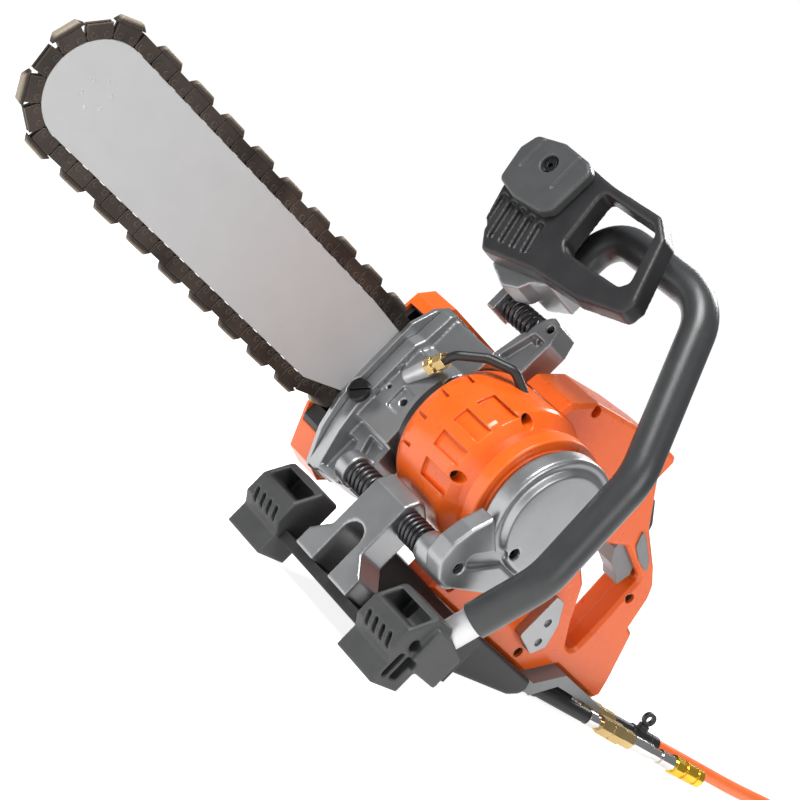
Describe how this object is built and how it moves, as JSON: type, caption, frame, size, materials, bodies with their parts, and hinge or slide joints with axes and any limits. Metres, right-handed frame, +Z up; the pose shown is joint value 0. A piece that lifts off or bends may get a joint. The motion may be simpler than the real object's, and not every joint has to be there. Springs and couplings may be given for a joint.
{
  "type": "concrete chain saw",
  "caption": "Hand-held water-fed concrete chain saw: tilted guide bar and segment chain, sprung motor unit, loop front handle with guard, trigger rear handle, hoses.",
  "frame": {"origin": "on the floor, under the middle of the saw's box, with the free cable left out", "axes": "+X forward along the bar, +Y to the machine's left, +Z up; the bar climbs 12 degrees"},
  "size_m": [1.1618, 0.3565, 0.3683],
  "materials": {
    "bar_steel": "ground sheet steel",
    "chain_steel": "dark oiled chain steel",
    "segment_matrix": "worn sintered diamond segment",
    "orange_shell": "orange moulded shell",
    "light_alloy": "fine cast light alloy",
    "machined_alloy": "bead-blasted alloy casting",
    "grey_plastic": "dark grey moulded plastic",
    "black_plastic": "black moulded plastic",
    "grip_rubber": "charcoal grip rubber",
    "black_rubber": "black rubber",
    "spring_steel": "dark spring steel",
    "bright_steel": "plated steel",
    "screw_steel": "blackened screws",
    "copper_winding": "varnished copper and iron stack",
    "brass": "turned brass",
    "gold_brass": "yellow plated brass",
    "chrome": "bright plated",
    "mid_grey_plastic": "mid grey plastic",
    "orange_cable": "orange cable sheath"
  },
  "bodies": {
    "frame": {"front_bracket": "light_alloy", "left_foot": "grey_plastic", "right_foot": "grey_plastic", "front_handle": "machined_alloy", "handle_grip": "grip_rubber", "base_plate": "black_plastic", "bump_stop": "black_rubber", "skid": "black_plastic", "hand_guard": "black_plastic", "guard_cap": "grey_plastic", "handle_bracket": "light_alloy", "rear_handle_left": "orange_shell", "rear_handle_right": "orange_shell", "handle_fasteners": "screw_steel", "switch_panel": "mid_grey_plastic", "rear_bracket": "light_alloy", "handle_base": "mid_grey_plastic", "side_springs": "spring_steel", "spring_top": "spring_steel", "line_glands": "black_rubber", "line_pipes": "black_rubber", "line_sleeves": "chrome", "line_nuts": "brass", "quick_coupler": "gold_brass", "supply_coupling": "black_plastic", "supply_cable": "orange_cable", "supply_coil": "orange_cable", "supply_connector": "black_plastic"},
    "power_unit": {"gear_casting": "light_alloy", "bar_pad": "light_alloy", "bar_studs": "bright_steel", "sprocket_cover": "orange_shell", "cover_liner": "black_rubber", "water_nozzle": "machined_alloy", "nozzle_nuts": "brass", "water_jumper": "black_rubber", "motor_collar": "black_plastic", "motor_housing": "orange_shell", "cooling_ring": "orange_shell", "end_cover": "light_alloy", "stator": "copper_winding", "shaft_bearings": "bright_steel", "top_cover": "orange_shell", "spring_lever": "light_alloy", "power_unit_screws": "screw_steel"},
    "motor": {"motor_shaft": "bright_steel", "rotor": "chain_steel", "drive_sprocket": "bright_steel"},
    "bar": {"guide_bar": "bar_steel", "drive_links": "chain_steel", "tie_straps": "chain_steel", "chain_rivets": "chain_steel", "diamond_segments": "segment_matrix", "nose_bearing": "bright_steel", "tensioner_carrier": "bright_steel"},
    "nose_wheel": {"nose_sprocket": "chain_steel"},
    "tension_screw": {"tensioner_screw": "screw_steel"},
    "trigger_lever": {"trigger": "mid_grey_plastic"},
    "lockout_lever": {"lockout": "black_plastic"},
    "coupling_lock": {"coupling_knob": "black_plastic"}
  },
  "joints": [
    {"name": "power_unit_float", "type": "slide", "parent": "frame", "child": "power_unit", "axis": [-0.2079, 0, 0.9781], "range_m": [-0.003, 0.003], "stiffness_N_per_m": 60000, "springref_m": 0.0013},
    {"name": "motor_spin", "type": "hinge", "parent": "power_unit", "child": "motor", "pos_m": [-0.0351, -0.0235, 0.15005], "axis": [0, 1, 0], "continuous": true},
    {"name": "tensioner_turn", "type": "hinge", "parent": "power_unit", "child": "tension_screw", "pos_m": [0.01963, -0.0905, 0.13306], "axis": [0.9781, 0, 0.2079], "range_deg": [0, 2160]},
    {"name": "bar_slide", "type": "slide", "parent": "power_unit", "child": "bar", "axis": [0.9781, 0, 0.2079], "range_m": [-0.006, 0]},
    {"name": "nose_spin", "type": "hinge", "parent": "bar", "child": "nose_wheel", "pos_m": [0.35796, -0.1035, 0.22132], "axis": [0, 1, 0], "continuous": true},
    {"name": "trigger_pull", "type": "hinge", "parent": "frame", "child": "trigger_lever", "pos_m": [-0.2241, -0.0085, 0.14463], "axis": [0, 1, 0], "range_deg": [0, 8], "stiffness_Nm_per_rad": 1.5, "springref_deg": -4.58},
    {"name": "lockout_press", "type": "hinge", "parent": "frame", "child": "lockout_lever", "pos_m": [-0.21273, -0.0085, 0.17772], "axis": [0, -1, 0], "range_deg": [0, 8], "stiffness_Nm_per_rad": 1, "springref_deg": -4.58},
    {"name": "coupling_lock_turn", "type": "hinge", "parent": "frame", "child": "coupling_lock", "pos_m": [-0.36006, 0.02492, 0.009], "axis": [0, 0, 1], "range_deg": [0, 90]}
  ],
  "couplings": [
    {"joint": "tensioner_turn", "follows": "bar_slide", "rad_per_m": -6283.2},
    {"joint": "nose_spin", "follows": "motor_spin", "ratio": 0.57143}
  ]
}
